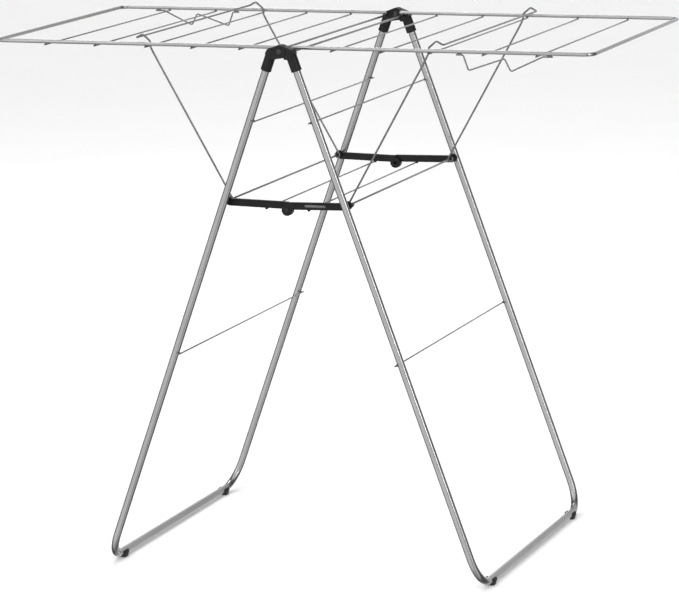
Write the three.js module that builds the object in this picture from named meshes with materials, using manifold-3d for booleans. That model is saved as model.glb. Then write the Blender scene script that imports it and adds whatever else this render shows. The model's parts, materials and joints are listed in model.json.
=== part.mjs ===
// Folding clothes drying rack: an A-frame of two bent-tube leg frames, two wire wings that fold
// down, a wire bail under each wing and an over-centre brace at the front and the back.
// Millimetres, +Z up, X along the wings, Y from front to back, origin on the floor at the centre.

import * as THREE from 'three';
import { mergeVertices } from 'three/addons/utils/BufferGeometryUtils.js';
import Module from 'manifold-3d';

const wasm = await Module();
wasm.setup();

// ---- Driving dimensions -------------------------------------------------------------------

const GAP = 0.3;                    // left between pieces that touch

// Legs
const LEG_DEPTH = 333;              // leg centreline to the middle of the rack, along Y
const LEG_RADIUS = 7.5;
const LEG_BORE = 6.3;
const LEG_BEND = 56;                // centreline radius of the two lower bends
const LEG_SPREAD = 0.3604;          // sideways run per millimetre of height
const FLOOR_BAR_Z = 11;
const FLOOR_BAR_X = 381.7;
const LEG_TOP_Z = 1002;
const LEG_WIRE_OVERHANG = 10;       // how far a leg wire runs past the leg's centreline

// Hinge elbows
const HINGE_Z = 1021;
const WING_PIVOT_Z = 1019.4;
const SLEEVE_RADIUS = 10.5;
const SLEEVE_BOTTOM_Z = 984;
const SLEEVE_TOP_Z = 1014;
const LOBE_RADIUS = 13;
const LOBE_CLEARANCE = 0.7;
const LAP_GAP = 0.4;                // between the two halves of the lap joint
const ELBOW_EDGE = [[24.5, 4.5], [28.8, -3.5], [24.5, -15], [9.5, -15]];   // X and Z from the hinge
const PIN_SHANK_RADIUS = 3;
const PIN_HEAD_RADIUS = 5.6;
const PIN_HEAD_HEIGHT = 2;

// Wings
const WING_REACH = 600;             // centreline of the end bar
const RAIL_DEPTH = 310;             // rail centreline to the middle of the rack
const RAIL_Z = 1025.9;
const RAIL_RADIUS = 3.9;
const RAIL_CORNER = 20;
const RAIL_INNER_X = 14;
const THIN_RADIUS = 1.6;
const THIN_PLACES = [92.3, 190.2, 284.9, 390.6, 494.0];
const THIN_OVERHANG = 6;
const PIVOT_ROD_RADIUS = 2.25;
const PIVOT_ROD_END = 330;          // its ends turn in blind holes in the elbows
const PIVOT_HOLE_END = 331;

// Sawtooth hanger under one rail of each wing
const HANGER_START_X = 338;
const HANGER_LENGTH = 187;
const HANGER_LEAD = 14;             // welded lead-in before the first drop
const HANGER_TAIL = 19;             // welded lead-out after the last slope
const HANGER_DROP_RUN = 10;         // sideways run of the first steep drop
const HANGER_NOTCH_RUN = 12;        // the same for the drop between the teeth
const HANGER_TOOTH_PITCH = 82;
const HANGER_DEPTH = 30;
const HANGER_CREST_DROP = 5;        // the middle crest stays this far under the rail

// Wires and rods between the legs
const UPPER_WIRE_Z = 890;
const LOWER_WIRE_Z = 434;
const CROSS_ROD_Z = 730;
const CROSS_ROD_RADIUS = 2.2;
const BRACE_ROD_X = 44;
const BRACE_ROD_Z = 718;

// Braces
const KNUCKLE_Z = 716.5;
const KNUCKLE_DROP = 8.5;           // the eye's centre lies this far under the bar's middle
const LINK_HEIGHT = 14.4;
const LINK_THICKNESS = 6;
const LINK_END_DROP = 2.5;          // the bar's middle lies this far under the cross rod
const LINK_END_REACH = 5;           // the bar's square end, past the cross rod
const LINK_INNER_FACE = 307;        // inner layer of links, distance from the middle along Y
const LINK_LAYER_GAP = 0.4;
const EYE_RADIUS = 10.8;
const CLIP_RADIUS = 8.5;
const LUG_RADIUS = 3.8;             // the boss that holds a brace rod
const KNUCKLE_PIN_RADIUS = 2.6;
const KNUCKLE_HEAD_RADIUS = 4.6;
const KNUCKLE_HEAD_HEIGHT = 1.6;

// Wing bails
const BAIL_DEPTH = 298;
const BAIL_RADIUS = 2;
const BAIL_HOOK_RADIUS = 4.6;
const BAIL_HOOK_TURN = 1.45 * Math.PI;
const BAIL_HOOK_STEPS = 8;
// From the third wing wire, in X and Z: up past the wire, over the hump and down to the top bar.
const BAIL_RISE = [[-11.4, -14.1], [-5.3, -2.1], [-4.3, 9.9], [11.1, 22.9], [24.1, 15.9]];
const BAIL_BENDS = [8, 5, 5, 4.5, 5];

// Feet
const FOOT_Y = 268;
const FOOT_LENGTH = 14;
const FOOT_OUTER = 10.8;
const FOOT_CLEARANCE = 0.4;
const FOOT_TOP_Z = 15;
const SOLE_WIDTH = 16;
const SOLE_TOP_WIDTH = 18;
const SOLE_HEIGHT = 4;

const CUT_REACH = 1;                // a cutter runs this far past the faces it opens

const legX = (z) => FLOOR_BAR_X - (z - FLOOR_BAR_Z) * LEG_SPREAD;
const legDirection = new THREE.Vector2(-LEG_SPREAD, 1).normalize();
const CROSS_ROD_X = legX(CROSS_ROD_Z);
const WING_PIVOT_X = legX(WING_PIVOT_Z);

// ---- Materials ----------------------------------------------------------------------------

const surface = (color, roughness, metalness) => () => new THREE.MeshStandardMaterial({
  color, roughness, metalness,
});
const coatedSteel = surface(0xa9abad, 0.42, 0.75);
const darkPlastic = surface(0x2a2c2e, 0.55, 0);
const darkRubber = surface(0x141414, 0.8, 0);
const rivetSteel = surface(0x55585a, 0.4, 0.9);

// ---- Wires and tubes ----------------------------------------------------------------------

// A path through given vertices, so that long straights take one step and bends take several.
class VertexPath extends THREE.Curve {
  constructor(vertices) {
    super();
    this.vertices = vertices;
  }

  indexAt(u) {
    return Math.round(u * (this.vertices.length - 1));
  }

  getPointAt(u, target = new THREE.Vector3()) {
    return target.copy(this.vertices[this.indexAt(u)]);
  }

  getTangentAt(u, target = new THREE.Vector3()) {
    const index = this.indexAt(u);
    const here = this.vertices[index];
    const before = this.vertices[Math.max(index - 1, 0)];
    const after = this.vertices[Math.min(index + 1, this.vertices.length - 1)];
    const arriving = here.clone().sub(before).normalize();
    const leaving = after.clone().sub(here).normalize();
    return target.copy(arriving).add(leaving).normalize();
  }
}

// Rounds each inner corner of a list of points with an arc of its own radius.
function roundCorners(points, radii, stepsPerBend) {
  const vertices = [points[0].clone()];
  for (let i = 1; i < points.length - 1; i += 1) {
    const toBefore = points[i - 1].clone().sub(points[i]).normalize();
    const toAfter = points[i + 1].clone().sub(points[i]).normalize();
    const halfAngle = toBefore.angleTo(toAfter) / 2;
    const middle = toBefore.clone().add(toAfter).normalize();
    const centre = points[i].clone().addScaledVector(middle, radii[i - 1] / Math.sin(halfAngle));
    const start = points[i].clone().addScaledVector(toBefore, radii[i - 1] / Math.tan(halfAngle));
    const end = points[i].clone().addScaledVector(toAfter, radii[i - 1] / Math.tan(halfAngle));
    const turnAxis = new THREE.Vector3().crossVectors(toBefore, toAfter).normalize().negate();
    const turn = Math.PI - 2 * halfAngle;
    for (let step = 0; step <= stepsPerBend; step += 1) {
      const spoke = start.clone().sub(centre).applyAxisAngle(turnAxis, (turn * step) / stepsPerBend);
      vertices.push(centre.clone().add(spoke));
    }
    vertices[vertices.length - 1].copy(end);
  }
  vertices.push(points[points.length - 1].clone());
  return vertices;
}

function roundSection(radius, sides) {
  const corners = [];
  for (let i = 0; i < sides; i += 1) {
    const angle = ((i + 0.5) / sides) * Math.PI * 2;
    corners.push(new THREE.Vector2(Math.cos(angle) * radius, Math.sin(angle) * radius));
  }
  return corners;
}

function sweep(vertices, radius, sides, boreRadius = 0) {
  const section = new THREE.Shape(roundSection(radius, sides));
  if (boreRadius > 0) {
    section.holes.push(new THREE.Path(roundSection(boreRadius, sides)));
  }
  return new THREE.ExtrudeGeometry(section, {
    steps: vertices.length - 1,
    extrudePath: new VertexPath(vertices),
    curveSegments: 1,
    bevelEnabled: false,
  });
}

function straightWire(x, z, halfLength, radius, sides = 8) {
  const ends = [new THREE.Vector3(x, -halfLength, z), new THREE.Vector3(x, halfLength, z)];
  return sweep(ends, radius, sides);
}

// ---- Booleans -----------------------------------------------------------------------------

function solidOf(geometry) {
  const bare = geometry.clone();
  bare.deleteAttribute('normal');
  bare.deleteAttribute('uv');
  const merged = mergeVertices(bare, 1e-4);
  return new wasm.Manifold(new wasm.Mesh({
    numProp: 3,
    vertProperties: new Float32Array(merged.attributes.position.array),
    triVerts: new Uint32Array(merged.index.array),
  }));
}

function geometryOf(solid) {
  const mesh = solid.getMesh();
  const geometry = new THREE.BufferGeometry();
  geometry.setAttribute('position', new THREE.BufferAttribute(new Float32Array(mesh.vertProperties), 3));
  geometry.setIndex(new THREE.BufferAttribute(new Uint32Array(mesh.triVerts), 1));
  geometry.computeVertexNormals();
  return geometry;
}

// A flat outline in X and Z, given thickness along Y from yStart to yEnd.
function plate(outline, yStart, yEnd) {
  const geometry = new THREE.ExtrudeGeometry(new THREE.Shape(outline), {
    depth: yEnd - yStart,
    bevelEnabled: false,
    curveSegments: 1,
  });
  geometry.rotateX(Math.PI / 2);
  geometry.translate(0, yEnd, 0);
  return solidOf(geometry);
}

function disc(x, z, radius, yStart, yEnd, sides = 20) {
  const geometry = new THREE.CylinderGeometry(radius, radius, yEnd - yStart, sides);
  geometry.translate(x, (yStart + yEnd) / 2, z);
  return solidOf(geometry);
}

// A round bar between two points.
function bar(start, end, radius, sides = 16) {
  const length = start.distanceTo(end);
  const geometry = new THREE.CylinderGeometry(radius, radius, length, sides);
  const turn = new THREE.Quaternion().setFromUnitVectors(
    new THREE.Vector3(0, 1, 0),
    end.clone().sub(start).normalize(),
  );
  geometry.applyQuaternion(turn);
  geometry.translate((start.x + end.x) / 2, (start.y + end.y) / 2, (start.z + end.z) / 2);
  return solidOf(geometry);
}

// ---- Assembly helpers ---------------------------------------------------------------------

const rack = new THREE.Group();
const HALF_TURN = Math.PI;

function place(name, geometry, material, turn = 0) {
  const mesh = new THREE.Mesh(geometry, material);
  mesh.name = name;
  mesh.rotation.z = turn;
  rack.add(mesh);
}

// ---- Leg frames ---------------------------------------------------------------------------

// side is -1 for the left frame and +1 for the right one.
function legTube(side) {
  const top = (y) => new THREE.Vector3(side * legX(LEG_TOP_Z), y, LEG_TOP_Z);
  const foot = (y) => new THREE.Vector3(side * FLOOR_BAR_X, y, FLOOR_BAR_Z);
  const corners = [top(-LEG_DEPTH), foot(-LEG_DEPTH), foot(LEG_DEPTH), top(LEG_DEPTH)];
  return sweep(roundCorners(corners, [LEG_BEND, LEG_BEND], 7), LEG_RADIUS, 12, LEG_BORE);
}

// A wire welded across the inner side of the two legs, its ends past the tubes.
function legWire(side, z) {
  const away = LEG_RADIUS + THIN_RADIUS + GAP;
  const x = side * (legX(z) - away * legDirection.y);
  const lowered = z - away * LEG_SPREAD * legDirection.y;
  return straightWire(x, lowered, LEG_DEPTH + LEG_WIRE_OVERHANG, THIN_RADIUS);
}

function crossRod(side) {
  return straightWire(side * CROSS_ROD_X, CROSS_ROD_Z, LEG_DEPTH - LEG_RADIUS - GAP, CROSS_ROD_RADIUS);
}

// A clip foot that grips the floor bar from below and has a flat sole.
function foot(side, y) {
  const x = side * FLOOR_BAR_X;
  const yStart = y - FOOT_LENGTH / 2;
  const yEnd = y + FOOT_LENGTH / 2;
  const around = (points) => points.map(([dx, z]) => new THREE.Vector2(x + dx, z));
  const slab = (zStart, zEnd) => {
    const reach = FOOT_OUTER + CUT_REACH;
    return plate(
      around([[-reach, zStart], [reach, zStart], [reach, zEnd], [-reach, zEnd]]),
      yStart - CUT_REACH,
      yEnd + CUT_REACH,
    );
  };
  const sole = around([
    [-SOLE_WIDTH / 2, 0], [SOLE_WIDTH / 2, 0],
    [SOLE_TOP_WIDTH / 2, SOLE_HEIGHT], [-SOLE_TOP_WIDTH / 2, SOLE_HEIGHT],
  ]);
  const grip = LEG_RADIUS + FOOT_CLEARANCE;
  const clip = disc(x, FLOOR_BAR_Z, FOOT_OUTER, yStart, yEnd, 24)
    .add(plate(sole, yStart, yEnd))
    .subtract(disc(x, FLOOR_BAR_Z, grip, yStart - CUT_REACH, yEnd + CUT_REACH, 24))
    .subtract(slab(FOOT_TOP_Z, FLOOR_BAR_Z + FOOT_OUTER + CUT_REACH))
    .subtract(slab(-CUT_REACH, 0));
  return geometryOf(clip);
}

// ---- Hinge --------------------------------------------------------------------------------

// Where each half of the lap joint lies at the front, along Y.
const LAP = {
  outer: [-LEG_DEPTH - SLEEVE_RADIUS, -LEG_DEPTH - LAP_GAP / 2],
  inner: [-LEG_DEPTH + LAP_GAP / 2, -LEG_DEPTH + SLEEVE_RADIUS],
};

// The front elbow of one leg frame: a sleeve over the leg, a corner, and an arm in one half of
// the lap joint that ends in a lobe round the hinge pin.
function elbow(side, half) {
  const otherLap = LAP[half === 'outer' ? 'inner' : 'outer'];
  const outline = (points) => points.map(([x, z]) => new THREE.Vector2(side * x, HINGE_Z + z));
  const onLeg = (z) => new THREE.Vector3(side * legX(z), -LEG_DEPTH, z);
  const corner = outline([[8, LOBE_RADIUS - 2], ...ELBOW_EDGE]);
  const arm = outline([[0, LOBE_RADIUS], ...ELBOW_EDGE, [0, -LOBE_RADIUS]]);
  const yStart = LAP.outer[0];
  const yEnd = LAP.inner[1];
  const lobeRoom = disc(
    0, HINGE_Z, LOBE_RADIUS + LOBE_CLEARANCE, otherLap[0] - LAP_GAP, otherLap[1] + LAP_GAP, 28,
  );
  const legBore = bar(onLeg(SLEEVE_BOTTOM_Z - 5), onLeg(LEG_TOP_Z + 1), LEG_RADIUS + GAP, 20);
  const pinBore = disc(0, HINGE_Z, PIN_SHANK_RADIUS + GAP, yStart - CUT_REACH, yEnd + CUT_REACH, 16);
  const pivotHole = disc(
    side * WING_PIVOT_X, WING_PIVOT_Z, PIVOT_ROD_RADIUS + GAP, -PIVOT_HOLE_END, yEnd + CUT_REACH, 12,
  );
  const body = bar(onLeg(SLEEVE_BOTTOM_Z), onLeg(SLEEVE_TOP_Z), SLEEVE_RADIUS, 20)
    .add(plate(corner, yStart, yEnd))
    .subtract(lobeRoom)
    .add(plate(arm, ...LAP[half]))
    .add(disc(0, HINGE_Z, LOBE_RADIUS, ...LAP[half], 28))
    .subtract(legBore)
    .subtract(pinBore)
    .subtract(pivotHole);
  return geometryOf(body);
}

// One half of a domed rivet head: radius and distance along Y, from the crown to the flat under it.
function domedHead(radius, height, underside, outward) {
  return [
    [0, underside + outward * height],
    [radius * 0.72, underside + outward * height * 0.9],
    [radius, underside + outward * height * 0.4],
    [radius, underside],
  ];
}

function lathed(profile, sides) {
  return new THREE.LatheGeometry(profile.map(([radius, y]) => new THREE.Vector2(radius, y)), sides);
}

// A rivet through both lobes at the front, with a domed head at each end.
function hingePin() {
  const underHead = SLEEVE_RADIUS + GAP;
  const geometry = lathed([
    ...domedHead(PIN_HEAD_RADIUS, PIN_HEAD_HEIGHT, -underHead, -1),
    [PIN_SHANK_RADIUS, -underHead],
    [PIN_SHANK_RADIUS, underHead],
    ...domedHead(PIN_HEAD_RADIUS, PIN_HEAD_HEIGHT, underHead, 1).reverse(),
  ], 16);
  geometry.translate(0, -LEG_DEPTH, HINGE_Z);
  return geometry;
}

// ---- Wings --------------------------------------------------------------------------------

// The rail and end bar of a wing are one wire bent into a U.
function wingRail(side) {
  const at = (x, y) => new THREE.Vector3(side * x, y, RAIL_Z);
  const corners = [
    at(RAIL_INNER_X, -RAIL_DEPTH), at(WING_REACH, -RAIL_DEPTH),
    at(WING_REACH, RAIL_DEPTH), at(RAIL_INNER_X, RAIL_DEPTH),
  ];
  return sweep(roundCorners(corners, [RAIL_CORNER, RAIL_CORNER], 5), RAIL_RADIUS, 8);
}

function wingWire(side, x) {
  const z = RAIL_Z - RAIL_RADIUS - THIN_RADIUS - GAP;
  return straightWire(side * x, z, RAIL_DEPTH + THIN_OVERHANG, THIN_RADIUS);
}

// The innermost wire of a wing is also its pivot: its ends turn in the corners of the elbows.
function pivotRod(side) {
  return straightWire(side * WING_PIVOT_X, WING_PIVOT_Z, PIVOT_ROD_END, PIVOT_ROD_RADIUS);
}

// Sawtooth wire for coat hangers, welded by its ends under the front rail of the right wing.
function hanger() {
  const top = RAIL_Z - RAIL_RADIUS - THIN_RADIUS - 0.5;
  const at = (x, drop) => new THREE.Vector3(HANGER_START_X + x, -RAIL_DEPTH, top - drop);
  const firstNotch = HANGER_LEAD + HANGER_DROP_RUN;
  const secondNotch = firstNotch + HANGER_TOOTH_PITCH;
  const corners = [
    at(0, 0),
    at(HANGER_LEAD, 0),
    at(firstNotch, HANGER_DEPTH),
    at(secondNotch - HANGER_NOTCH_RUN, HANGER_CREST_DROP),
    at(secondNotch, HANGER_DEPTH),
    at(HANGER_LENGTH - HANGER_TAIL, 0),
    at(HANGER_LENGTH, 0),
  ];
  return sweep(roundCorners(corners, [5, 4, 4, 4, 5], 3), THIN_RADIUS, 8);
}

// ---- Bails --------------------------------------------------------------------------------

// A bent wire that turns on the cross rod and holds its wing up: each side ends in a hook round
// the rod, jogs past the third wing wire, humps over it and joins the bar across the top.
function bail(side) {
  const wireX = THIN_PLACES[2];
  const wireZ = RAIL_Z - RAIL_RADIUS - THIN_RADIUS - GAP;
  const rise = BAIL_RISE.map(([x, z]) => [wireX + x, wireZ + z]);
  const toSeat = new THREE.Vector2(rise[0][0] - CROSS_ROD_X, rise[0][1] - CROSS_ROD_Z);
  const leaving = toSeat.angle() + Math.acos(BAIL_HOOK_RADIUS / toSeat.length());
  const hook = [];
  for (let step = BAIL_HOOK_STEPS; step >= 0; step -= 1) {
    const angle = leaving + (step / BAIL_HOOK_STEPS) * BAIL_HOOK_TURN;
    hook.push([
      CROSS_ROD_X + Math.cos(angle) * BAIL_HOOK_RADIUS,
      CROSS_ROD_Z + Math.sin(angle) * BAIL_HOOK_RADIUS,
    ]);
  }
  const halfPath = (y) => [...hook, ...rise].map(([x, z]) => new THREE.Vector3(side * x, y, z));
  const front = halfPath(-BAIL_DEPTH);
  const back = halfPath(BAIL_DEPTH).reverse();
  const frontHook = front.slice(0, BAIL_HOOK_STEPS);
  const backHook = back.slice(-BAIL_HOOK_STEPS);
  const corners = [...front.slice(BAIL_HOOK_STEPS), ...back.slice(0, -BAIL_HOOK_STEPS)];
  const middle = roundCorners(corners, [...BAIL_BENDS, ...BAIL_BENDS.slice().reverse()], 3);
  return sweep([...frontHook, ...middle, ...backHook], BAIL_RADIUS, 8);
}

// ---- Braces -------------------------------------------------------------------------------

// One link: a clip round the cross rod, a flat bar, an eye at the knuckle and a lug for the brace
// rod. The left links lie in the inner layer and the right ones in the outer layer.
function link(side, yStart) {
  const yEnd = yStart + LINK_THICKNESS;
  const cutStart = yStart - CUT_REACH;
  const cutEnd = yEnd + CUT_REACH;
  const half = LINK_HEIGHT / 2;
  const rodEnd = CROSS_ROD_Z - LINK_END_DROP;
  const eyeEnd = KNUCKLE_Z + KNUCKLE_DROP;
  const outline = [
    [-1, eyeEnd - half],
    [CROSS_ROD_X - 2, rodEnd - half],
    [CROSS_ROD_X + LINK_END_REACH, rodEnd - half + 4],
    [CROSS_ROD_X + LINK_END_REACH, rodEnd + half - 2],
    [CROSS_ROD_X - 4, rodEnd + half],
    [-1, eyeEnd + half],
  ].map(([x, z]) => new THREE.Vector2(side * x, z));
  const body = plate(outline, yStart, yEnd)
    .add(disc(side * CROSS_ROD_X, CROSS_ROD_Z, CLIP_RADIUS, yStart, yEnd, 20))
    .add(disc(0, KNUCKLE_Z, EYE_RADIUS, yStart, yEnd, 24))
    .add(disc(side * BRACE_ROD_X, BRACE_ROD_Z, LUG_RADIUS, yStart, yEnd, 16))
    .subtract(disc(side * CROSS_ROD_X, CROSS_ROD_Z, CROSS_ROD_RADIUS + GAP, cutStart, cutEnd, 14))
    .subtract(disc(0, KNUCKLE_Z, KNUCKLE_PIN_RADIUS + GAP, cutStart, cutEnd, 14));
  return geometryOf(body);
}

// A headed pin in the outer link's eye. It stops short of the inner link.
function knucklePin(outerFace, innerFace, outward) {
  const underHead = outerFace + outward * GAP;
  const profile = [
    ...domedHead(KNUCKLE_HEAD_RADIUS, KNUCKLE_HEAD_HEIGHT, underHead, outward),
    [KNUCKLE_PIN_RADIUS, underHead],
    [KNUCKLE_PIN_RADIUS, innerFace],
    [0, innerFace],
  ];
  if (outward > 0) {
    profile.reverse();
  }
  const geometry = lathed(profile, 14);
  geometry.translate(0, 0, KNUCKLE_Z);
  return geometry;
}

function braceRod(side, linkFace) {
  return straightWire(side * BRACE_ROD_X, BRACE_ROD_Z, linkFace - GAP, THIN_RADIUS);
}

// ---- Build --------------------------------------------------------------------------------

const SIDES = [['left', -1], ['right', 1]];
const ENDS = [['front', -1], ['back', 1]];

for (const [name, side] of SIDES) {
  place(`${name}_leg_tube`, legTube(side), coatedSteel());
  place(`${name}_upper_leg_wire`, legWire(side, UPPER_WIRE_Z), coatedSteel());
  place(`${name}_lower_leg_wire`, legWire(side, LOWER_WIRE_Z), coatedSteel());
  place(`${name}_cross_rod`, crossRod(side), coatedSteel());
  for (const [end, sign] of ENDS) {
    place(`${name}_${end}_foot`, foot(side, sign * FOOT_Y), darkRubber());
  }
  place(`${name}_wing_rail`, wingRail(side), coatedSteel());
  place(`${name}_wing_pivot_rod`, pivotRod(side), coatedSteel());
  THIN_PLACES.forEach((x, index) => {
    place(`${name}_wing_wire_${index + 1}`, wingWire(side, x), coatedSteel());
  });
  place(`${name}_bail`, bail(side), coatedSteel());
}

// The hinge and the hangers are alike after half a turn about the upright axis.
place('left_front_elbow', elbow(-1, 'outer'), darkPlastic());
place('right_front_elbow', elbow(1, 'inner'), darkPlastic());
place('right_back_elbow', elbow(-1, 'outer'), darkPlastic(), HALF_TURN);
place('left_back_elbow', elbow(1, 'inner'), darkPlastic(), HALF_TURN);
place('front_hinge_pin', hingePin(), rivetSteel());
place('back_hinge_pin', hingePin(), rivetSteel(), HALF_TURN);
place('right_wing_hanger', hanger(), coatedSteel());
place('left_wing_hanger', hanger(), coatedSteel(), HALF_TURN);

const innerLayer = [LINK_INNER_FACE, LINK_INNER_FACE + LINK_THICKNESS];
const outerLayer = innerLayer.map((y) => y + LINK_THICKNESS + LINK_LAYER_GAP);
place('left_front_link', link(-1, -innerLayer[1]), darkPlastic());
place('left_back_link', link(-1, innerLayer[0]), darkPlastic());
place('right_front_link', link(1, -outerLayer[1]), darkPlastic());
place('right_back_link', link(1, outerLayer[0]), darkPlastic());
place('left_brace_rod', braceRod(-1, innerLayer[0]), coatedSteel());
place('right_brace_rod', braceRod(1, outerLayer[0]), coatedSteel());
place('front_knuckle_pin', knucklePin(-outerLayer[1], -outerLayer[0], -1), rivetSteel());
place('back_knuckle_pin', knucklePin(outerLayer[1], outerLayer[0], 1), rivetSteel());

export default rack;
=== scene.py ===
"""Looks of a folding clothes drying rack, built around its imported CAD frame.

Metres, in the CAD frame: X along the wings, Y from front to back, Z up, floor at Z 0.
Each piece takes its place from the CAD node that it stands for.
"""

import json
import math

import bmesh
import bpy
from mathutils import Matrix, Vector, noise

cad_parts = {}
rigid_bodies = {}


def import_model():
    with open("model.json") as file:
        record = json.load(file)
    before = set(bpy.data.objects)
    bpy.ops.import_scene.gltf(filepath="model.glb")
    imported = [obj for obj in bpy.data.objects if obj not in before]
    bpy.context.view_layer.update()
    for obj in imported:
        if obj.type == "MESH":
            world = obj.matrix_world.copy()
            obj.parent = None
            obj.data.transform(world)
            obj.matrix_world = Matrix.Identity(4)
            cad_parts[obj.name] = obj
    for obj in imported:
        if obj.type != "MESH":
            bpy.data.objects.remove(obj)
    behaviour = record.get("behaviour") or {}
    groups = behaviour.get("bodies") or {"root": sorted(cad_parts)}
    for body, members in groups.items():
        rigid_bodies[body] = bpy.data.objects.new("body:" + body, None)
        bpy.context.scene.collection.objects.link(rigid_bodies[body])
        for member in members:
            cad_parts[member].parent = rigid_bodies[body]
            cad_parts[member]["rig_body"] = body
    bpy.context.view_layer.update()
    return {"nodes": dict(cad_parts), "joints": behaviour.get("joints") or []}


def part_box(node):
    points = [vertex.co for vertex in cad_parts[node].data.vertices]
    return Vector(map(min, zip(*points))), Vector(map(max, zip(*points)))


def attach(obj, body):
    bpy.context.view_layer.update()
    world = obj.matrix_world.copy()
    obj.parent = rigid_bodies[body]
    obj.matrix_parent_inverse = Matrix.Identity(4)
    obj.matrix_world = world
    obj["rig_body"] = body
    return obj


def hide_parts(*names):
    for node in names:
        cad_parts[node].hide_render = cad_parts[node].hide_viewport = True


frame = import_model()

SIDES = {"left": -1, "right": 1}
ENDS = {"front": -1, "back": 1}
JOINT_AT = {joint["name"]: Vector(joint["pos_m"]) for joint in frame["joints"]}

# ---- Dimensions that a CAD box doesn't give ---------------------------------------------------

LEG_RADIUS = 0.00724
LEG_BEND = 0.056
LEG_SPREAD = 0.3604             # sideways run of a leg per metre of height
LEG_LEAN = math.atan(LEG_SPREAD)
RAIL_BEND = 0.020
RAIL_CHAMFER = 0.0012
WIRE_CHAMFER = 0.0005

HANGER_LEAD = 0.014             # level run at the inner end
HANGER_FIRST_NOTCH = 0.024
HANGER_TOOTH = 0.082            # from one notch to the next
HANGER_DROP_RUN = 0.012         # sideways run of the steep drop between the teeth
HANGER_CREST_DROP = 0.005       # how far the crest between the teeth stays below the ends
HANGER_TAIL = 0.019             # level run at the outer end
HANGER_BENDS = [0.005, 0.004, 0.004, 0.004, 0.005]

BAIL_RADIUS = 0.00185
BAIL_HOOK_RADIUS = 0.0046
BAIL_HOOK_TURN = 1.42 * math.pi
BAIL_HOOK_STEPS = 20
BAIL_RISE = [                   # (out, up) from the third wing wire, and the bend there
    (-0.0114, -0.0141, 0.0080),
    (-0.0053, -0.0021, 0.0050),
    (-0.0043, 0.0099, 0.0050),
    (0.0111, 0.0229, 0.0045),
    (0.0241, 0.0159, 0.0050),
]

BEAD_UNEVENNESS = 0.16
BEAD_RIPPLE = 1.3               # how fast the unevenness changes over a bead
BEAD_SPACING = 1000             # sets beads apart in the noise, so that no two are alike
WIRE_NUGGET = (0.0021, 0.0019, 0.0011)  # half sizes along X, Y and Z, as for the next two
HANGER_NUGGET = (0.0052, 0.0012, 0.0010)
LEG_BEAD = (0.0014, 0.0030, 0.0013)
LEG_BEAD_REACH = 0.75           # how far toward the tube a bead sits, in wire radii
ROD_COLLAR = [                  # (past the cross rod's end, beyond its radius)
    (-0.0026, 0),
    (-0.0016, 0.0003),
    (-0.0007, 0.0009),
    (0.0004, 0.0016),
]

SLEEVE_RADIUS = 0.0105          # half the hinge's depth from front to back
SLEEVE_DROP = 0.0368            # from the hinge pin down to the sleeve's lower end
SLEEVE_CLEARANCE = 0.0005
SHAFT_RADIUS = 0.0102
SHAFT_DROP = 0.006              # from the hinge pin down to the shaft's upper end, in the corner block
SLEEVE_RIM = [                  # (above the sleeve's lower end, radius)
    (0, 0.0099),
    (0.0006, 0.0104),
    (0.0036, 0.0104),
    (0.0042, SHAFT_RADIUS),
]
BORE_SPARE = 0.001              # empty length of the bore above the leg's end
LOBE_RADIUS = 0.0129
LOBE_CLEARANCE = 0.0008
LAP_GAP = 0.0002                # half the gap between the two halves of the hinge
ARM_INSET = 0.00003             # keeps the arm's faces off the lobe's
PIN_HEAD = 0.002                # thickness of a head of the hinge pin
PIN_DIMPLE = [                  # (below the top, radius)
    (0.0005, 0.0006),
    (0.0003, 0.0014),
    (0, 0.0022),
]
PIN_DOME = [                    # (below the top, share of the head's radius)
    (0.0002, 0.68),
    (0.0008, 0.90),
    (0.0014, 0.985),
]
PIN_NECK_SHARE = 0.97           # shares of the head's radius, under the head
PIN_SHANK_SHARE = 0.53
PIN_BORE_SHARE = 0.60
ELBOW_CORNER = (0.0080, 0.0105)     # these outlines are (out, up) from the hinge pin
ELBOW_EDGE = [
    (0.0245, 0.0044),
    (0.0286, -0.0035),
    (0.0245, -0.0150),
    (0.0095, -0.0150),
]
ELBOW_BRIDGE = [
    (0, LOBE_RADIUS - 0.0001),
    (0.0240, 0.0042),
    (0.0240, -0.0146),
    (0.0098, -0.0147),
    (0, 0.0001 - LOBE_RADIUS),
]
PIVOT_BORE = 0.0026
PIVOT_BORE_START = 0.002        # behind the leg's centreline

LINK_HALF = 0.0071              # half the height of the bar
LINK_NEAR_RISE = 0.0085         # from the knuckle pin up to the bar's centreline
LINK_FAR_DROP = 0.0025          # from the cross rod down to the bar's centreline
LINK_OVERLAP = 0.001            # how far the bar runs past the knuckle
LINK_TIP = [                    # the chamfered outer end: (past the cross rod, up from the centreline)
    (-0.002, -LINK_HALF),
    (0.0045, 0.004 - LINK_HALF),
    (0.0045, LINK_HALF - 0.002),
    (-0.004, LINK_HALF),
]
EYE_RADIUS = 0.0107
CLIP_RADIUS = 0.0084
CLIP_CLEARANCE = 0.0004
LUG_RADIUS = 0.0023
PANEL_DEPTH = 0.0013
PANEL_RIM = 0.0026
PANEL_START = 0.018             # from the knuckle
PANEL_STOP = 0.016              # from the cross rod
KNUCKLE_BORE = 0.0029
KNUCKLE_TIP = 0.0024
KNUCKLE_CHAMFER = 0.0003
KNUCKLE_SHANK = 0.00255
KNUCKLE_HEAD = 0.0016           # thickness of the knuckle pin's head
KNUCKLE_DOME = [                # (below the top, share of the head's radius)
    (0.00155, 0.97),
    (0.0009, 0.985),
    (0.0004, 0.90),
    (0.0001, 0.66),
    (0, 0.40),
    (0.0002, 0.20),
]
LABEL_RISE = 0.0094             # from the knuckle pin up to the label's middle
LABEL_CORNER_SHARE = 0.3
LABEL_THICKNESS = 0.0003
LABEL_SINK = 0.0001             # how far its back lies inside the panel

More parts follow.
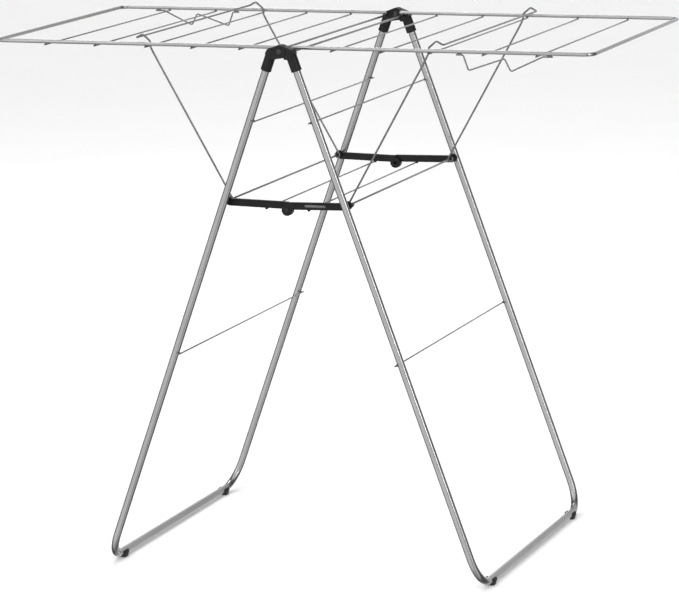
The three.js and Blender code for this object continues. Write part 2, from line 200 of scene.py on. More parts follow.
FOOT_OUTER = 0.0106
FOOT_WAIST = 0.0004             # how far the round part between the lips is set in
FOOT_WAIST_INSET = 0.001        # from each end face to where that part starts
FOOT_LIP = 0.0026
FOOT_TOP = 0.0150               # above the floor
FOOT_PAD = [                    # (across, up from the floor)
    (-0.0080, 0),
    (0.0080, 0),
    (0.0088, 0.0040),
    (-0.0088, 0.0040),
]
FOOT_CLEARANCE = 0.0002
GROOVE_START = 0.001            # how far below the sole a groove's cut starts
GROOVE_DEPTH = 0.0009
GROOVE_HALF = 0.0006            # half the width of a groove
GROOVE_SHARES = (-0.25, 0, 0.25)    # where the grooves lie, in foot lengths from the middle
SLAB_REACH = 0.014              # how far a level cut through a foot reaches to each side
SLAB_TOP = 0.030
SLAB_BOTTOM = -0.010

OVERCUT = 0.002                 # how far a cutting shape reaches past what it cuts


# ---- Node boxes -------------------------------------------------------------------------------

def middle(node):
    low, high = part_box(node)
    return (low + high) / 2


def half_size(node):
    low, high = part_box(node)
    return (high - low) / 2


LEG_LOW, LEG_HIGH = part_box("right_leg_tube")
LEG_DEPTH = LEG_HIGH.y - LEG_RADIUS
FLOOR_BAR_X = LEG_HIGH.x - LEG_RADIUS
FLOOR_BAR_Z = LEG_LOW.z + LEG_RADIUS
LEG_TOP_Z = LEG_HIGH.z - LEG_RADIUS * math.sin(LEG_LEAN)


def leg_x(z):
    """How far from the middle a leg's centreline is, at height z."""
    return FLOOR_BAR_X - (z - FLOOR_BAR_Z) * LEG_SPREAD


# ---- Mesh building ----------------------------------------------------------------------------

ADD, CUT = "UNION", "DIFFERENCE"    # how a shape joins the ones before it


def rounded(corners, bends, steps=8):
    """A path through corners, where each inner one is an arc of its own radius."""
    path = [corners[0]]
    for before, corner, after, bend in zip(corners, corners[1:], corners[2:], bends):
        back = (before - corner).normalized()
        ahead = (after - corner).normalized()
        half = back.angle(ahead) / 2
        centre = corner + (back + ahead).normalized() * (bend / math.sin(half))
        spoke = corner + back * (bend / math.tan(half)) - centre
        axis = ahead.cross(back).normalized()
        turn = math.pi - 2 * half
        for step in range(steps + 1):
            path.append(centre + Matrix.Rotation(turn * step / steps, 3, axis) @ spoke)
    path.append(corners[-1])
    return path


def softened(path, radius, chamfer):
    """The path with a radius at each point, and both ends rounded off."""
    start_way = (path[0] - path[1]).normalized()
    end_way = (path[-1] - path[-2]).normalized()
    angles = [math.radians(degrees) for degrees in (0, 30, 60, 90)]
    falls = [(chamfer * (1 - math.sin(a)), radius - chamfer * (1 - math.cos(a))) for a in angles]
    points = [(path[0] - start_way * inset, size) for inset, size in reversed(falls)]
    points += [(point, radius) for point in path[1:-1]]
    points += [(path[-1] - end_way * inset, size) for inset, size in falls]
    return points


def add_sweep(bm, points, sides=20):
    """Adds a closed round bar through (point, radius) pairs."""
    way = (points[1][0] - points[0][0]).normalized()
    across = way.orthogonal().normalized()
    rings = []
    for index, (point, radius) in enumerate(points):
        before = points[max(index - 1, 0)][0]
        after = points[min(index + 1, len(points) - 1)][0]
        way = ((point - before).normalized() + (after - point).normalized()).normalized()
        across = (across - way * across.dot(way)).normalized()
        other = way.cross(across)
        ring = []
        for side in range(sides):
            angle = 2 * math.pi * side / sides
            spoke = across * math.cos(angle) + other * math.sin(angle)
            ring.append(bm.verts.new(point + spoke * radius))
        rings.append(ring)
    for ring, following in zip(rings, rings[1:]):
        for side in range(sides):
            turn = (side + 1) % sides
            bm.faces.new((ring[side], ring[turn], following[turn], following[side]))
    bm.faces.new(list(reversed(rings[0])))
    bm.faces.new(rings[-1])


def plate(outline, y_start, y_end):
    """A closed plate: an outline in X and Z, with its thickness along Y."""
    bm = bmesh.new()
    near = [bm.verts.new((x, y_start, z)) for x, z in outline]
    far = [bm.verts.new((x, y_end, z)) for x, z in outline]
    bm.faces.new(near)
    bm.faces.new(list(reversed(far)))
    for index in range(len(outline)):
        turn = (index + 1) % len(outline)
        bm.faces.new((near[turn], near[index], far[index], far[turn]))
    return bm


def disc(x, z, radius, y_start, y_end, sides=48):
    angles = [2 * math.pi * side / sides for side in range(sides)]
    return plate([(x + radius * math.cos(a), z + radius * math.sin(a)) for a in angles], y_start, y_end)


def turned_bar(points):
    bm = bmesh.new()
    add_sweep(bm, points, sides=48)
    return bm


def add_bead(bm, centre, size):
    """Adds an uneven weld bead: a lump with its own half size along each axis."""
    made = bmesh.ops.create_icosphere(bm, subdivisions=2, radius=1)
    for vert in made["verts"]:
        place = Vector(centre) * BEAD_SPACING + vert.co * BEAD_RIPPLE
        swell = 1 + BEAD_UNEVENNESS * noise.noise(place)
        vert.co = Vector(centre) + Vector(vert.co * swell) * Vector(size)


def as_object(name, bm):
    bmesh.ops.recalc_face_normals(bm, faces=bm.faces)
    mesh = bpy.data.meshes.new(name)
    bm.to_mesh(mesh)
    bm.free()
    made = bpy.data.objects.new(name, mesh)
    bpy.context.scene.collection.objects.link(made)
    return made


def apply_modifiers(obj):
    graph = bpy.context.evaluated_depsgraph_get()
    mesh = bpy.data.meshes.new_from_object(obj.evaluated_get(graph))
    obj.modifiers.clear()
    obj.data = mesh


def moulded(name, steps, voxel, smoothing):
    """One moulded piece from closed shapes, each added or cut in turn, with its edges softened."""
    pieces = [as_object(name, shape) for _, shape in steps]
    piece, tools = pieces[0], pieces[1:]
    for (operation, _), tool in zip(steps[1:], tools):
        join = piece.modifiers.new("join", "BOOLEAN")
        join.operation = operation
        join.solver = "EXACT"
        join.object = tool
    remesh = piece.modifiers.new("remesh", "REMESH")
    remesh.mode = "VOXEL"
    remesh.voxel_size = voxel
    soften = piece.modifiers.new("soften", "SMOOTH")
    soften.factor = 0.5
    soften.iterations = smoothing
    bpy.context.view_layer.update()
    apply_modifiers(piece)
    for tool in tools:
        bpy.data.objects.remove(tool)
    return piece


def finished(obj, material, body):
    """Shades a piece smooth and gives it its material and body."""
    obj.data.materials.clear()
    obj.data.materials.append(material)
    for face in obj.data.polygons:
        face.use_smooth = True
    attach(obj, body)
    return obj


def stand_for(obj, node, material):
    """Puts a piece in the place of a CAD node."""
    finished(obj, material, frame["nodes"][node]["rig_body"])
    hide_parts(node)
    return obj


# ---- Materials --------------------------------------------------------------------------------

class Material:
    """A node material under construction: a Principled shader and helpers round it."""

    def __init__(self, name):
        self.made = bpy.data.materials.new(name)
        self.made.use_nodes = True
        self.nodes = self.made.node_tree.nodes
        self.links = self.made.node_tree.links
        self.shader = self.nodes["Principled BSDF"]
        self.place = self.nodes.new("ShaderNodeTexCoord").outputs["Object"]

    def set(self, socket, value):
        self.shader.inputs[socket].default_value = value

    def noise(self, scale, detail, roughness=0.5):
        node = self.nodes.new("ShaderNodeTexNoise")
        node.inputs["Scale"].default_value = scale
        node.inputs["Detail"].default_value = detail
        node.inputs["Roughness"].default_value = roughness
        self.links.new(self.place, node.inputs["Vector"])
        return node.outputs["Fac"]

    def cells(self, scale):
        node = self.nodes.new("ShaderNodeTexVoronoi")
        node.inputs["Scale"].default_value = scale
        self.links.new(self.place, node.inputs["Vector"])
        return node.outputs["Distance"]

    def ranged(self, value, low, high, start=0.3, end=0.7):
        """value from start to end, spread over low to high."""
        node = self.nodes.new("ShaderNodeMapRange")
        node.inputs["From Min"].default_value = start
        node.inputs["From Max"].default_value = end
        node.inputs["To Min"].default_value = low
        node.inputs["To Max"].default_value = high
        self.links.new(value, node.inputs["Value"])
        return node.outputs["Result"]

    def mixed(self, factor, first, second):
        node = self.nodes.new("ShaderNodeMixRGB")
        self.links.new(factor, node.inputs["Fac"])
        for socket, colour in (("Color1", first), ("Color2", second)):
            if isinstance(colour, tuple):
                node.inputs[socket].default_value = (*colour, 1)
            else:
                self.links.new(colour, node.inputs[socket])
        return node.outputs["Color"]

    def bumped(self, height, strength, distance):
        node = self.nodes.new("ShaderNodeBump")
        node.inputs["Strength"].default_value = strength
        node.inputs["Distance"].default_value = distance
        self.links.new(height, node.inputs["Height"])
        if self.shader.inputs["Normal"].is_linked:
            self.links.new(self.shader.inputs["Normal"].links[0].from_socket, node.inputs["Normal"])
        self.links.new(node.outputs["Normal"], self.shader.inputs["Normal"])

    def feed(self, socket, value):
        self.links.new(value, self.shader.inputs[socket])


def grey(value):
    return (value, value, value)


def scaled(colour, factor):
    return tuple(value * factor for value in colour)


def coated_steel(name, light, dark):
    """Satin silver-grey coating over steel: fine flakes, orange peel and a little uneven gloss."""
    coat = Material(name)
    coat.set("Metallic", 0.85)
    coat.set("Coat Weight", 0.12)
    coat.set("Coat Roughness", 0.2)
    flakes = coat.cells(scale=1500)
    cloud = coat.noise(scale=9, detail=4)
    tone = coat.mixed(coat.ranged(cloud, low=0, high=1), light, dark)
    flake_share = coat.ranged(flakes, low=0.35, high=0, start=0.1, end=0.5)
    coat.feed("Base Color", coat.mixed(flake_share, tone, scaled(light, 1.12)))
    smears = coat.noise(scale=45, detail=5, roughness=0.6)
    coat.feed("Roughness", coat.ranged(smears, low=0.16, high=0.25))
    orange_peel = coat.noise(scale=420, detail=2)
    coat.bumped(orange_peel, strength=0.08, distance=0.0003)
    coat.bumped(flakes, strength=0.03, distance=0.0001)
    return coat.made


def moulded_plastic(name, dark, light):
    """Fine-grained moulded plastic, paler along sharp edges: partly rubbed wear, partly painted highlight.
    """
    plastic = Material(name)
    plastic.set("Specular IOR Level", 0.15)
    sharpness = plastic.nodes.new("ShaderNodeNewGeometry").outputs["Pointiness"]
    cloud = plastic.noise(scale=60, detail=4)
    tone = plastic.mixed(plastic.ranged(cloud, low=0, high=1), dark, light)
    # Sharp edges are lightened: partly real rubbed wear, partly a painted highlight along the edges.
    edge_wear_and_highlight = plastic.ranged(sharpness, low=0, high=0.5, start=0.52, end=0.60)
    plastic.feed("Base Color", plastic.mixed(edge_wear_and_highlight, tone, scaled(light, 3.0)))
    smears = plastic.noise(scale=220, detail=4)
    plastic.feed("Roughness", plastic.ranged(smears, low=0.34, high=0.50))
    grain = plastic.noise(scale=1900, detail=2)
    plastic.bumped(grain, strength=0.30, distance=0.00012)
    return plastic.made


def rubber(name, dark, dusty):
    """Matt rubber that has picked up dust near the floor."""
    soft = Material(name)
    soft.set("Specular IOR Level", 0.3)
    height = soft.nodes.new("ShaderNodeSeparateXYZ")
    soft.links.new(soft.place, height.inputs["Vector"])
    near_floor = soft.ranged(height.outputs["Z"], low=0.45, high=0.05, start=0.001, end=0.012)
    dust = soft.noise(scale=900, detail=5, roughness=0.7)
    speckled = soft.mixed(soft.ranged(dust, low=0, high=1), dark, dusty)
    soft.feed("Base Color", soft.mixed(near_floor, dark, speckled))
    smears = soft.noise(scale=300, detail=4)
    soft.feed("Roughness", soft.ranged(smears, low=0.68, high=0.88))
    pores = soft.noise(scale=1300, detail=3, roughness=0.65)
    soft.bumped(pores, strength=0.35, distance=0.0002)
    return soft.made


def turned_steel(name, colour, centre):
    """Dark plated steel with the faint rings of a turned rivet head round centre."""
    steel = Material(name)
    steel.set("Metallic", 1.0)
    offset = steel.nodes.new("ShaderNodeMapping")
    offset.inputs["Location"].default_value = [-value for value in centre]
    steel.links.new(steel.place, offset.inputs["Vector"])
    rings = steel.nodes.new("ShaderNodeTexWave")
    rings.wave_type = "RINGS"
    rings.rings_direction = "Y"
    rings.inputs["Scale"].default_value = 700
    rings.inputs["Distortion"].default_value = 1.5
    steel.links.new(offset.outputs["Vector"], rings.inputs["Vector"])
    wear = steel.ranged(steel.noise(scale=500, detail=4), low=0, high=0.6)
    steel.feed("Base Color", steel.mixed(wear, colour, scaled(colour, 1.8)))
    smears = steel.noise(scale=260, detail=3)
    steel.feed("Roughness", steel.ranged(smears, low=0.26, high=0.42))
    steel.bumped(rings.outputs["Fac"], strength=0.12, distance=0.0001)
    return steel.made


def label_film(name, colour):
    """The plain grey film of a blank label."""
    film = Material(name)
    mottle = film.ranged(film.noise(scale=400, detail=4), low=0, high=1)
    film.feed("Base Color", film.mixed(mottle, colour, scaled(colour, 0.8)))
    smears = film.noise(scale=700, detail=3)
    film.feed("Roughness", film.ranged(smears, low=0.34, high=0.5))
    film.bumped(film.noise(scale=1500, detail=2), strength=0.1, distance=0.0001)
    return film.made


def pale_floor(name):
    """A nearly white, faintly mottled studio floor."""
    floor = Material(name)
    floor.set("Specular IOR Level", 0.2)
    floor.set("Roughness", 0.75)
    floor.feed("Base Color", floor.mixed(floor.noise(scale=3, detail=5), grey(0.90), grey(0.93)))
    floor.bumped(floor.noise(scale=160, detail=3), strength=0.03, distance=0.0004)
    return floor.made


TUBE_COAT = coated_steel("tube_coat", grey(0.28), grey(0.24))
RAIL_COAT = coated_steel("rail_coat", grey(0.27), grey(0.23))
WIRE_COAT = coated_steel("wire_coat", grey(0.16), grey(0.13))
BENT_COAT = coated_steel("bent_coat", grey(0.14), grey(0.11))
HINGE_PLASTIC = moulded_plastic("hinge_plastic", (0.005, 0.005, 0.0055), (0.010, 0.010, 0.0105))
BRACE_PLASTIC = moulded_plastic("brace_plastic", (0.003, 0.003, 0.0035), (0.007, 0.007, 0.0075))
LABEL_FILM = label_film("label_film", (0.11, 0.11, 0.112))
FOOT_RUBBER = rubber("foot_rubber", (0.014, 0.014, 0.015), (0.075, 0.073, 0.070))
HINGE_RIVET = turned_steel("hinge_rivet", (0.035, 0.035, 0.036), middle("front_hinge_pin"))
KNUCKLE_RIVET = turned_steel("knuckle_rivet", (0.022, 0.022, 0.023), middle("front_knuckle_pin"))


# ---- Wires and tubes --------------------------------------------------------------------------

def smooth_bar(node, corners, bends, radius, material, chamfer=WIRE_CHAMFER, sides=20):
    """A round bar along corners, in the place of a CAD node."""
    bm = bmesh.new()
    add_sweep(bm, softened(rounded(corners, bends), radius, chamfer), sides)
    return stand_for(as_object(node + "_bar", bm), node, material)


def straight_wire(node):
    """A wire along Y, with its place, length and thickness from the node's box."""
    centre, half = middle(node), half_size(node)
    reach = Vector((0, half.y, 0))
    return smooth_bar(node, [centre - reach, centre + reach], [], half.z, WIRE_COAT)


def leg_tube(name, side):
    top_x = leg_x(LEG_TOP_Z)
    corners = [
        Vector((side * top_x, -LEG_DEPTH, LEG_TOP_Z)),
        Vector((side * FLOOR_BAR_X, -LEG_DEPTH, FLOOR_BAR_Z)),
        Vector((side * FLOOR_BAR_X, LEG_DEPTH, FLOOR_BAR_Z)),
        Vector((side * top_x, LEG_DEPTH, LEG_TOP_Z)),
    ]
    bends = [LEG_BEND, LEG_BEND]
    return smooth_bar(f"{name}_leg_tube", corners, bends, LEG_RADIUS, TUBE_COAT, sides=32)


def wing_rail(name, side):
    node = f"{name}_wing_rail"
    low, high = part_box(node)
    radius = (high.z - low.z) / 2
    inner = min(abs(low.x), abs(high.x))
    outer = max(abs(low.x), abs(high.x)) - radius
    depth = high.y - radius
    height = (low.z + high.z) / 2
    corners = [
        Vector((side * inner, -depth, height)),
        Vector((side * outer, -depth, height)),
        Vector((side * outer, depth, height)),
        Vector((side * inner, depth, height)),
    ]
    bends = [RAIL_BEND, RAIL_BEND]
    return smooth_bar(node, corners, bends, radius, RAIL_COAT, chamfer=RAIL_CHAMFER, sides=24)


def hanger(name, side):
    """Sawtooth wire for coat hangers: two slanting runs, each with a steep drop before it."""
    node = f"{name}_wing_hanger"
    low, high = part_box(node)
    radius = (high.y - low.y) / 2
    y = (low.y + high.y) / 2
    top = high.z - radius
    bottom = low.z + radius
    start = min(abs(low.x), abs(high.x))
    end = max(abs(low.x), abs(high.x))
    first_notch = start + HANGER_FIRST_NOTCH
    profile = [
        (start, top),
        (start + HANGER_LEAD, top),
        (first_notch, bottom),
        (first_notch + HANGER_TOOTH - HANGER_DROP_RUN, top - HANGER_CREST_DROP),
        (first_notch + HANGER_TOOTH, bottom),
        (end - HANGER_TAIL, top),
        (end, top),
    ]
    corners = [Vector((side * x, y, z)) for x, z in profile]
    return smooth_bar(node, corners, HANGER_BENDS, radius, BENT_COAT)


def bail(name, side):
    """A bent wire: hooks round the cross rod, runs past the third wing wire and over the top."""
    node = f"{name}_bail"
    depth = half_size(node).y - BAIL_RADIUS
    rod = middle(f"{name}_cross_rod")
    seat = middle(f"{name}_wing_wire_3")
    rise = [Vector((side * (abs(seat.x) + out), 0, seat.z + up)) for out, up, _ in BAIL_RISE]
    bends = [bend for _, _, bend in BAIL_RISE]
    out = abs(rise[0].x) - abs(rod.x)
    up = rise[0].z - rod.z
    leaving = math.atan2(up, out) + math.acos(BAIL_HOOK_RADIUS / math.hypot(out, up))
    hook = []
    for step in range(BAIL_HOOK_STEPS, -1, -1):
        angle = leaving + BAIL_HOOK_TURN * step / BAIL_HOOK_STEPS
        x = side * (abs(rod.x) + math.cos(angle) * BAIL_HOOK_RADIUS)
        hook.append(Vector((x, 0, rod.z + math.sin(angle) * BAIL_HOOK_RADIUS)))
    front = Vector((0, -depth, 0))
    back = Vector((0, depth, 0))
    corners = [point + front for point in [hook[-1], *rise]]
    corners += [point + back for point in reversed([hook[-1], *rise])]
    path = [point + front for point in hook[:-1]]
    path += rounded(corners, bends + bends[::-1])
    path += [point + back for point in reversed(hook[:-1])]
    bm = bmesh.new()
    add_sweep(bm, softened(path, BAIL_RADIUS, WIRE_CHAMFER))
    return stand_for(as_object(node + "_bar", bm), node, BENT_COAT)


# ---- Welds ------------------------------------------------------------------------------------

def wing_welds(name):
    """The small nuggets that hold the wires and the hanger to the rails."""
    rail = half_size(f"{name}_wing_rail")
    centre = middle(f"{name}_wing_rail")
    radius = rail.z
    depth = rail.y - radius
    bm = bmesh.new()
    wires = [f"{name}_wing_wire_{index}" for index in range(1, 6)] + [f"{name}_wing_pivot_rod"]
    for node in wires:
        contact = (centre.z - radius + middle(node).z + half_size(node).z) / 2
        for sign in ENDS.values():
            add_bead(bm, (middle(node).x, sign * depth, contact), WIRE_NUGGET)
    low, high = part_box(f"{name}_wing_hanger")
    lead = HANGER_LEAD / 2
    contact = (centre.z - radius + high.z) / 2
    for x in (low.x + lead, high.x - lead):
        add_bead(bm, (x, (low.y + high.y) / 2, contact), HANGER_NUGGET)
    return finished(as_object(f"{name}_wing_welds", bm), WIRE_COAT, f"{name}_wing")


def frame_welds(name, side):
    """The beads where leg wires and the cross rod meet the leg tube."""
    bm = bmesh.new()
    for wire in ("upper", "lower"):
        centre = middle(f"{name}_{wire}_leg_wire")
        radius = half_size(f"{name}_{wire}_leg_wire").z
        toward = Vector((side * math.cos(LEG_LEAN), 0, math.sin(LEG_LEAN)))
        along = Vector((-side * math.sin(LEG_LEAN), 0, math.cos(LEG_LEAN)))
        for sign in ENDS.values():
            for way in (-1, 1):
                place = centre + toward * radius * LEG_BEAD_REACH + along * way * radius
                add_bead(bm, place + Vector((0, sign * LEG_DEPTH, 0)), LEG_BEAD)
    rod = middle(f"{name}_cross_rod")
    reach = half_size(f"{name}_cross_rod").y
    radius = half_size(f"{name}_cross_rod").z
    for sign in ENDS.values():
        collar = [(reach + past, radius + swell) for past, swell in ROD_COLLAR]
        add_sweep(bm, [(rod + Vector((0, sign * y, 0)), size) for y, size in collar])
    return finished(as_object(f"{name}_frame_welds", bm), TUBE_COAT, f"{name}_frame")


# ---- Hinge ------------------------------------------------------------------------------------

def elbow(node, side, half, turned):
    """A sleeve over the leg's top, a corner block and one half of the lap joint round the pin.

    It is built at the front, on the side given, and turned half round about Z if it belongs at the back.
    """
    pin = JOINT_AT["leg_fold"]
    pivot_z = JOINT_AT["right_wing_fold"].z
    pivot_x = JOINT_AT["right_wing_fold"].x
    outer = (-LEG_DEPTH - SLEEVE_RADIUS, -LEG_DEPTH - LAP_GAP)
    inner = (-LEG_DEPTH + LAP_GAP, -LEG_DEPTH + SLEEVE_RADIUS)
    own, other = (outer, inner) if half == "outer" else (inner, outer)

    def on_leg(z):
        return Vector((side * leg_x(z), -LEG_DEPTH, z))

    def outline(points):
        return [(side * x, pin.z + z) for x, z in points]

    bottom = pin.z - SLEEVE_DROP
    sleeve = [(bottom + above, radius) for above, radius in SLEEVE_RIM]
    sleeve.append((pin.z - SHAFT_DROP, SHAFT_RADIUS))
    bore = LEG_RADIUS + SLEEVE_CLEARANCE
    hollow = [(bottom - 2 * OVERCUT, bore), (LEG_TOP_Z + BORE_SPARE, bore)]
    room = (own[1], other[1] + OVERCUT) if half == "outer" else (other[0] - OVERCUT, own[0])
    arm = (own[0] + ARM_INSET, own[1] - ARM_INSET)
    pin_bore = half_size("front_hinge_pin").x * PIN_BORE_SHARE
    through = (outer[0] - OVERCUT, inner[1] + OVERCUT)
    steps = [
        (ADD, turned_bar([(on_leg(z), radius) for z, radius in sleeve])),
        (ADD, plate(outline([ELBOW_CORNER, *ELBOW_EDGE]), outer[0], inner[1])),
        (CUT, disc(0, pin.z, LOBE_RADIUS + LOBE_CLEARANCE, *room)),
        (ADD, plate(outline(ELBOW_BRIDGE), *arm)),
        (ADD, disc(0, pin.z, LOBE_RADIUS, *own)),
        (CUT, turned_bar([(on_leg(z), radius) for z, radius in hollow])),
        (CUT, disc(0, pin.z, pin_bore, *through)),
        (CUT, disc(side * pivot_x, pivot_z, PIVOT_BORE, -LEG_DEPTH + PIVOT_BORE_START, through[1])),
    ]
    piece = moulded(node + "_moulding", steps, voxel=0.00045, smoothing=5)
    if turned:
        piece.data.transform(Matrix.Rotation(math.pi, 4, "Z"))
    return stand_for(piece, node, HINGE_PLASTIC)


def hinge_pin(end):
    """A rivet through both halves, with a domed and dimpled head at each end."""
    node = f"{end}_hinge_pin"
    centre, half = middle(node), half_size(node)
    neck = half.y - PIN_HEAD
    profile = [(half.y - fall, radius) for fall, radius in PIN_DIMPLE]
    profile += [(half.y - fall, half.x * share) for fall, share in PIN_DOME]
    profile += [(neck, half.x * PIN_NECK_SHARE), (neck, half.x * PIN_SHANK_SHARE)]
    points = [(centre + Vector((0, -y, 0)), radius) for y, radius in profile]
    points += [(centre + Vector((0, y, 0)), radius) for y, radius in reversed(profile)]
    bm = bmesh.new()
    add_sweep(bm, points, sides=40)
    return stand_for(as_object(node + "_rivet", bm), node, HINGE_RIVET)


# ---- Braces -----------------------------------------------------------------------------------

def link(name, end, side, sign):
    """A flat moulded bar with a clip round the cross rod, an eye at the knuckle and a sunk panel."""
    node = f"{name}_{end}_link"
    low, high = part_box(node)
    rod = middle(f"{name}_cross_rod")
    knuckle = middle(f"{end}_knuckle_pin")
    brace_rod = middle(f"{name}_brace_rod")
    rod_x = abs(rod.x)
    near_z = knuckle.z + LINK_NEAR_RISE
    far_z = rod.z - LINK_FAR_DROP
    slope = (far_z - near_z) / rod_x
    bar = [(-LINK_OVERLAP, near_z - LINK_HALF)]
    bar += [(rod_x + past, far_z + up) for past, up in LINK_TIP]
    bar.append((-LINK_OVERLAP, near_z + LINK_HALF))
    panel_half = LINK_HALF - PANEL_RIM
    panel_ends = [(x, near_z + slope * x) for x in (PANEL_START, rod_x - PANEL_STOP)]
    panel = [(x, z - panel_half) for x, z in panel_ends]
    panel += [(x, z + panel_half) for x, z in reversed(panel_ends)]
    through = (low.y - OVERCUT, high.y + OVERCUT)
    sunk = (high.y - PANEL_DEPTH, through[1]) if sign > 0 else (through[0], low.y + PANEL_DEPTH)
    rod_bore = half_size(f"{name}_cross_rod").z + CLIP_CLEARANCE
    steps = [
        (ADD, plate([(side * x, z) for x, z in bar], low.y, high.y)),
        (ADD, disc(side * rod_x, rod.z, CLIP_RADIUS, low.y, high.y)),
        (ADD, disc(0, knuckle.z, EYE_RADIUS, low.y, high.y)),
        (ADD, disc(side * abs(brace_rod.x), brace_rod.z, LUG_RADIUS, low.y, high.y)),
        (CUT, disc(side * rod_x, rod.z, rod_bore, *through)),
        (CUT, disc(0, knuckle.z, KNUCKLE_BORE, *through)),
        (CUT, plate([(side * x, z) for x, z in panel], *sunk)),
    ]
    piece = moulded(node + "_moulding", steps, voxel=0.00042, smoothing=4)
    return stand_for(piece, node, BRACE_PLASTIC)


def knuckle_pin(end, sign):
    """A short rivet with a domed head on the outer link."""
    node = f"{end}_knuckle_pin"
    centre, half = middle(node), half_size(node)
    inner = centre.y - sign * half.y
    outer = centre.y + sign * half.y
    profile = [
        (inner, KNUCKLE_TIP),
        (inner + sign * KNUCKLE_CHAMFER, KNUCKLE_SHANK),
        (outer - sign * KNUCKLE_HEAD, KNUCKLE_SHANK),
    ]
    profile += [(outer - sign * fall, half.x * share) for fall, share in KNUCKLE_DOME]
    bm = bmesh.new()
    add_sweep(bm, [(Vector((0, y, centre.z)), radius) for y, radius in profile], sides=40)
    return stand_for(as_object(node + "_rivet", bm), node, KNUCKLE_RIVET)


def blank_label(start, end, height):
    """A thin blank label with round corners, from start to end, in the panel of the right front link."""
    low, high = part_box("right_front_link")
    knuckle = middle("front_knuckle_pin")
    centre_z = knuckle.z + LABEL_RISE
    corner = height * LABEL_CORNER_SHARE
    corner_z = centre_z + height / 2 - corner
    outline = []
    for corner_x, first in ((end - corner, 0), (start + corner, 90)):
        for turn in range(0, 91, 15):
            angle = math.radians(turn + first)
            outline.append((corner_x + corner * math.cos(angle), corner_z + corner * math.sin(angle)))
    outline += [(x, 2 * centre_z - z) for x, z in reversed(outline)]
    panel_y = low.y + PANEL_DEPTH
    label = as_object("right_front_label", plate(outline, panel_y - LABEL_THICKNESS, panel_y + LABEL_SINK))
    return finished(label, LABEL_FILM, "right_brace")


# ---- Feet -------------------------------------------------------------------------------------

def foot(name, end):
    """A rubber clip round the floor bar, with a flat grooved sole and raised lips."""
    node = f"{name}_{end}_foot"
    low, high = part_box(node)
    centre = (low + high) / 2
    length = high.y - low.y
    through = (low.y - OVERCUT, high.y + OVERCUT)

    def outline(points):
        return [(centre.x + x, low.z + z) for x, z in points]

    def round_bar(radius, y_start, y_end):
        return disc(centre.x, FLOOR_BAR_Z, radius, y_start, y_end, sides=64)

    def level_slab(z_start, z_end):
        corners = [(-SLAB_REACH, z_start), (SLAB_REACH, z_start), (SLAB_REACH, z_end), (-SLAB_REACH, z_end)]
        return outline(corners)

    steps = [
        (ADD, round_bar(FOOT_OUTER - FOOT_WAIST, low.y + FOOT_WAIST_INSET, high.y - FOOT_WAIST_INSET)),
        (ADD, round_bar(FOOT_OUTER, low.y, low.y + FOOT_LIP)),
        (ADD, round_bar(FOOT_OUTER, high.y - FOOT_LIP, high.y)),
        (ADD, plate(outline(FOOT_PAD), low.y, high.y)),
        (CUT, round_bar(LEG_RADIUS + FOOT_CLEARANCE, *through)),
        (CUT, plate(level_slab(FOOT_TOP, SLAB_TOP), *through)),
        (CUT, plate(level_slab(SLAB_BOTTOM, 0), *through)),
    ]
    for share in GROOVE_SHARES:
        y = centre.y + share * length
        steps.append((CUT, plate(level_slab(-GROOVE_START, GROOVE_DEPTH), y - GROOVE_HALF, y + GROOVE_HALF)))
    piece = moulded(node + "_clip", steps, voxel=0.00036, smoothing=2)
    return stand_for(piece, node, FOOT_RUBBER)


# ---- Assembly ---------------------------------------------------------------------------------

for name, side in SIDES.items():
    leg_tube(name, side)
    for part in ("upper_leg_wire", "lower_leg_wire", "cross_rod", "wing_pivot_rod", "brace_rod"):
        straight_wire(f"{name}_{part}")
    for index in range(1, 6):
        straight_wire(f"{name}_wing_wire_{index}")
    wing_rail(name, side)
    hanger(name, side)
    bail(name, side)
    wing_welds(name)
    frame_welds(name, side)
    for end, sign in ENDS.items():
        link(name, end, side, sign)
        foot(name, end)

for end, sign in ENDS.items():
    hinge_pin(end)
    knuckle_pin(end, sign)

blank_label(start=0.036, end=0.078, height=0.0048)
elbow("left_front_elbow", side=-1, half="outer", turned=False)
elbow("right_front_elbow", side=1, half="inner", turned=False)
elbow("right_back_elbow", side=-1, half="outer", turned=True)
elbow("left_back_elbow", side=1, half="inner", turned=True)


# ---- Studio -----------------------------------------------------------------------------------

CAMERA_YAW = 20.191             # degrees
CAMERA_PITCH = 10.557
CAMERA_ROLL = -1.0252
CAMERA_PLACE = (2.4314, -6.6498, 1.8126)
CAMERA_LENS = 192.16
SENSOR_WIDTH = 36
FLOOR_HALF = 30
CLIP_END = 100
FLAG_EDGE = (1.4, 0.6)          # where a flag's soft edge starts and ends, in half widths
STUDIO_FLAGS = [                # (degrees round from the front, half width in degrees, share of light)
    (120, 29, 0.97),
    (-118, 34, 0.97),
    (176, 20, 0.48),
    (CAMERA_YAW + 22, 12, 0.60),
]


def studio_floor():
    bm = bmesh.new()
    bmesh.ops.create_grid(bm, x_segments=1, y_segments=1, size=FLOOR_HALF)
    floor = as_object("studio_floor", bm)
    floor.data.materials.append(pale_floor("studio_floor"))
    floor.visible_glossy = False


def soft_light(name, place, aim, width, height, power):
    data = bpy.data.lights.new(name, "AREA")
    data.shape = "RECTANGLE"
    data.size = width
    data.size_y = height
    data.energy = power
    lamp = bpy.data.objects.new(name, data)
    lamp.location = place
    lamp.rotation_euler = (Vector(aim) - Vector(place)).to_track_quat("-Z", "Y").to_euler()
    bpy.context.scene.collection.objects.link(lamp)


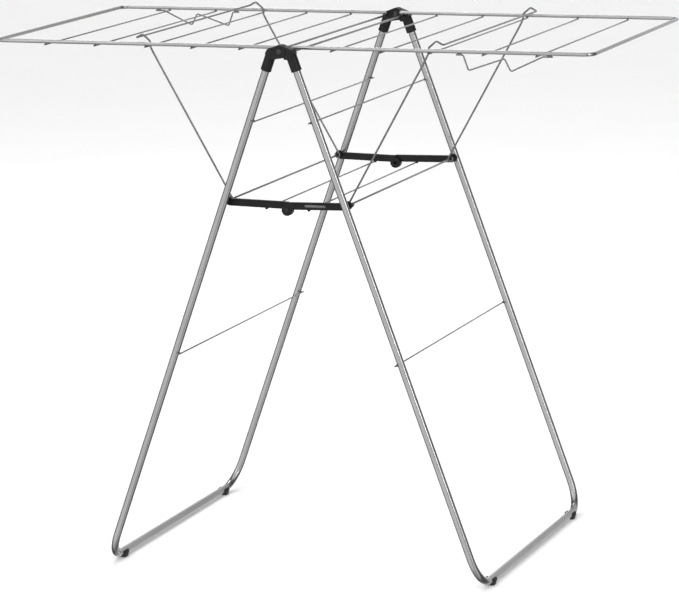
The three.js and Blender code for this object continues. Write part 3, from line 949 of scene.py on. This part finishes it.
def studio_world(below, horizon, zenith, flags):
    """Light from all round, brighter above and dim straight below, which only reflections see.

    Each flag is a dark upright strip, so that tubes and wires have darker edges.
    It takes its share of the light away.
    """
    world = bpy.data.worlds.new("studio")
    bpy.context.scene.world = world
    world.use_nodes = True
    nodes, links = world.node_tree.nodes, world.node_tree.links

    def math_node(operation, first, second):
        node = nodes.new("ShaderNodeMath")
        node.operation = operation
        for socket, value in zip(node.inputs, (first, second)):
            if isinstance(value, (int, float)):
                socket.default_value = value
            else:
                links.new(value, socket)
        return node.outputs["Value"]

    def vector_node(operation, first, second=None):
        node = nodes.new("ShaderNodeVectorMath")
        node.operation = operation
        links.new(first, node.inputs[0])
        if second is not None:
            node.inputs[1].default_value = second
        return node

    def ranged(value, start, end, low, high):
        node = nodes.new("ShaderNodeMapRange")
        node.interpolation_type = "SMOOTHSTEP"
        for name, number in (("From Min", start), ("From Max", end), ("To Min", low), ("To Max", high)):
            node.inputs[name].default_value = number
        links.new(value, node.inputs["Value"])
        return node.outputs["Result"]

    way = nodes.new("ShaderNodeTexCoord").outputs["Generated"]
    height = nodes.new("ShaderNodeSeparateXYZ")
    links.new(way, height.inputs["Vector"])
    above = ranged(height.outputs["Z"], start=0.0, end=0.9, low=horizon, high=zenith)
    underneath = ranged(height.outputs["Z"], start=-1.0, end=-0.5, low=below, high=1)
    strength = math_node("MULTIPLY", above, underneath)
    flat = vector_node("MULTIPLY", way, (1, 1, 0)).outputs["Vector"]
    level = vector_node("NORMALIZE", flat).outputs["Vector"]
    for degrees, half_width, share in flags:
        angle = math.radians(degrees)
        toward = (math.sin(angle), -math.cos(angle), 0)
        facing = vector_node("DOT_PRODUCT", level, toward).outputs["Value"]
        outer, inner = [math.cos(math.radians(half_width * reach)) for reach in FLAG_EDGE]
        dimming = ranged(facing, start=outer, end=inner, low=1, high=1 - share)
        strength = math_node("MULTIPLY", strength, dimming)
    links.new(strength, nodes["Background"].inputs["Strength"])
    nodes["Background"].inputs["Color"].default_value = (1, 1, 1, 1)


def camera():
    """The photograph's viewpoint: in front, a little to the right and above."""
    yaw = math.radians(CAMERA_YAW)
    pitch = math.radians(CAMERA_PITCH)
    roll = math.radians(CAMERA_ROLL)
    back = Vector((math.sin(yaw) * math.cos(pitch), -math.cos(yaw) * math.cos(pitch), math.sin(pitch)))
    right = (-back).cross(Vector((0, 0, 1))).normalized()
    up = right.cross(-back)
    across = right * math.cos(roll) + up * math.sin(roll)
    above = up * math.cos(roll) - right * math.sin(roll)
    data = bpy.data.cameras.new("camera")
    data.sensor_fit = "HORIZONTAL"
    data.sensor_width = SENSOR_WIDTH
    data.lens = CAMERA_LENS
    data.clip_end = CLIP_END
    made = bpy.data.objects.new("camera", data)
    made.matrix_world = Matrix((across, above, back)).transposed().to_4x4()
    made.location = CAMERA_PLACE
    bpy.context.scene.collection.objects.link(made)
    bpy.context.scene.camera = made


studio_floor()
studio_world(below=0.45, horizon=1.68, zenith=1.85, flags=STUDIO_FLAGS)
soft_light("key", place=(-2.6, -3.4, 4.2), aim=(0, 0, 0.5), width=2.4, height=2.4, power=30)
soft_light("strip", place=(2.8, -1.7, 1.8), aim=(0, 0, 0.7), width=0.35, height=2.6, power=34)
soft_light("rim", place=(-1.6, 2.6, 4.2), aim=(0, 0, 0), width=1.6, height=1.6, power=60)
camera()
bpy.context.scene.view_settings.view_transform = "Standard"
